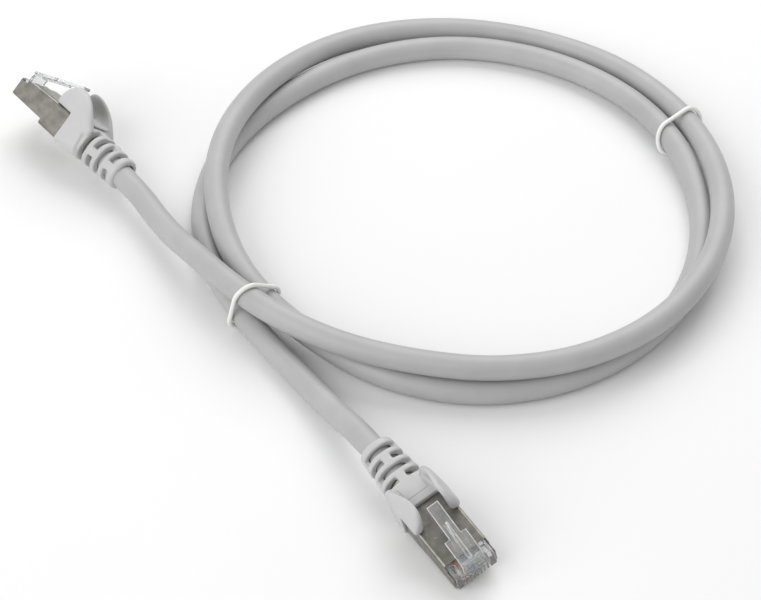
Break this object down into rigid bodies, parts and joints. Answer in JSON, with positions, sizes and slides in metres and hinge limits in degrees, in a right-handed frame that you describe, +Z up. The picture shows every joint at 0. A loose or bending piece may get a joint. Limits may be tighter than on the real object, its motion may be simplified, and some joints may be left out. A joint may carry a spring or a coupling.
{
  "type": "ethernet patch cable",
  "caption": "Grey shielded network patch cable in a loose tied coil, with a clear latching modular plug and a snagless strain-relief boot on each end.",
  "frame": {"origin": "on the floor under the middle of the bounding box of the coiled cable", "axes": "+Z up; plug a's nose points to -X +Y and plug b's nose to +X -Y; the coil lies in the XY plane"},
  "size_m": [0.1923, 0.2046, 0.0204],
  "materials": {
    "grey_jacket": "smooth satin PVC",
    "grey_boot": "soft moulded satin PVC",
    "clear_plastic": "clear polycarbonate, polished",
    "load_bar_plastic": "clear polycarbonate",
    "plug_metal": "satin nickel plate",
    "contact_gold": "gold plated",
    "foil": "thin foil",
    "tinned_wire": "tinned copper",
    "tie_white": "white nylon",
    "wire_orange": "solid colour insulation",
    "wire_green": "solid colour insulation",
    "wire_blue": "solid colour insulation",
    "wire_brown": "solid colour insulation"
  },
  "bodies": {
    "cable": {"cable_jacket": "grey_jacket", "foil_screen": "foil", "drain_wire": "tinned_wire", "pair_orange": "wire_orange", "pair_green": "wire_green", "pair_blue": "wire_blue", "pair_brown": "wire_brown", "housing_a": "clear_plastic", "shield_can_a": "plug_metal", "contacts_a": "contact_gold", "load_bar_a": "load_bar_plastic", "boot_a": "grey_boot", "wires_orange_a": "wire_orange", "wires_green_a": "wire_green", "wires_blue_a": "wire_blue", "wires_brown_a": "wire_brown", "housing_b": "clear_plastic", "shield_can_b": "plug_metal", "contacts_b": "contact_gold", "load_bar_b": "load_bar_plastic", "boot_b": "grey_boot", "wires_orange_b": "wire_orange", "wires_green_b": "wire_green", "wires_blue_b": "wire_blue", "wires_brown_b": "wire_brown", "tie_left": "tie_white", "tie_right": "tie_white"},
    "latch_a": {"latch_a": "clear_plastic"},
    "latch_b": {"latch_b": "clear_plastic"}
  },
  "joints": [
    {"name": "latch_a_press", "type": "hinge", "parent": "cable", "child": "latch_a", "pos_m": [-0.09002, 0.06469, 0.01279], "axis": [0.4427, 0.5083, -0.7387], "range_deg": [0, 18], "stiffness_Nm_per_rad": 0.4},
    {"name": "latch_b_press", "type": "hinge", "parent": "cable", "child": "latch_b", "pos_m": [0.02467, -0.09863, 0.00693], "axis": [-0.8046, -0.5311, -0.2656], "range_deg": [0, 18], "stiffness_Nm_per_rad": 0.4}
  ]
}
